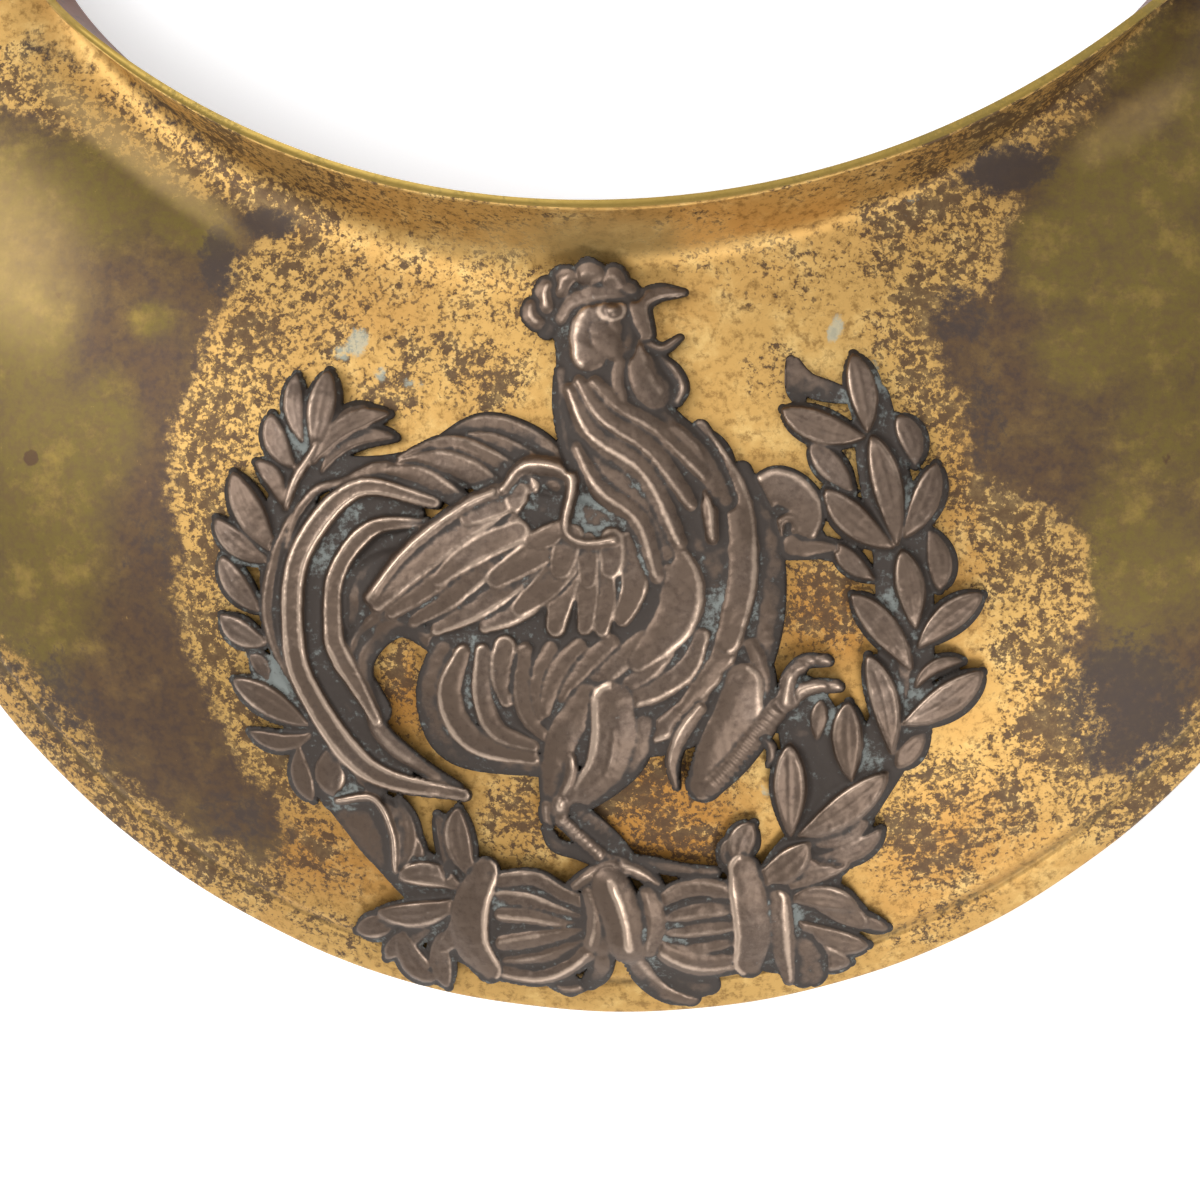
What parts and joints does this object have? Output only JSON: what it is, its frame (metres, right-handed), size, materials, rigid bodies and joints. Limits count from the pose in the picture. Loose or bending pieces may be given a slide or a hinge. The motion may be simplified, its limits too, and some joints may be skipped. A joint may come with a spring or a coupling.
{
  "type": "gorget",
  "caption": "Crescent officer's gorget of gilt brass with a domed plate, flared neck rim, two cord studs and a tarnished silvered badge of a cock on a laurel wreath.",
  "frame": {"origin": "centre of the bounding box's underside, on the surface that the gorget lies on", "axes": "+X across the gorget towards the wearer's left shoulder, +Y from the bottom edge towards the horns, +Z out of the front; it lies on its back"},
  "size_m": [0.1354, 0.0936, 0.0253],
  "materials": {
    "gilt_brass": "gilt, worn and spotted",
    "tarnished_silver": "silvered, tarnished brown",
    "stud_brass": "worn gilt"
  },
  "bodies": {
    "root": {"plate": "gilt_brass", "badge": "tarnished_silver", "stud_left": "stud_brass", "stud_right": "stud_brass"}
  },
  "joints": []
}
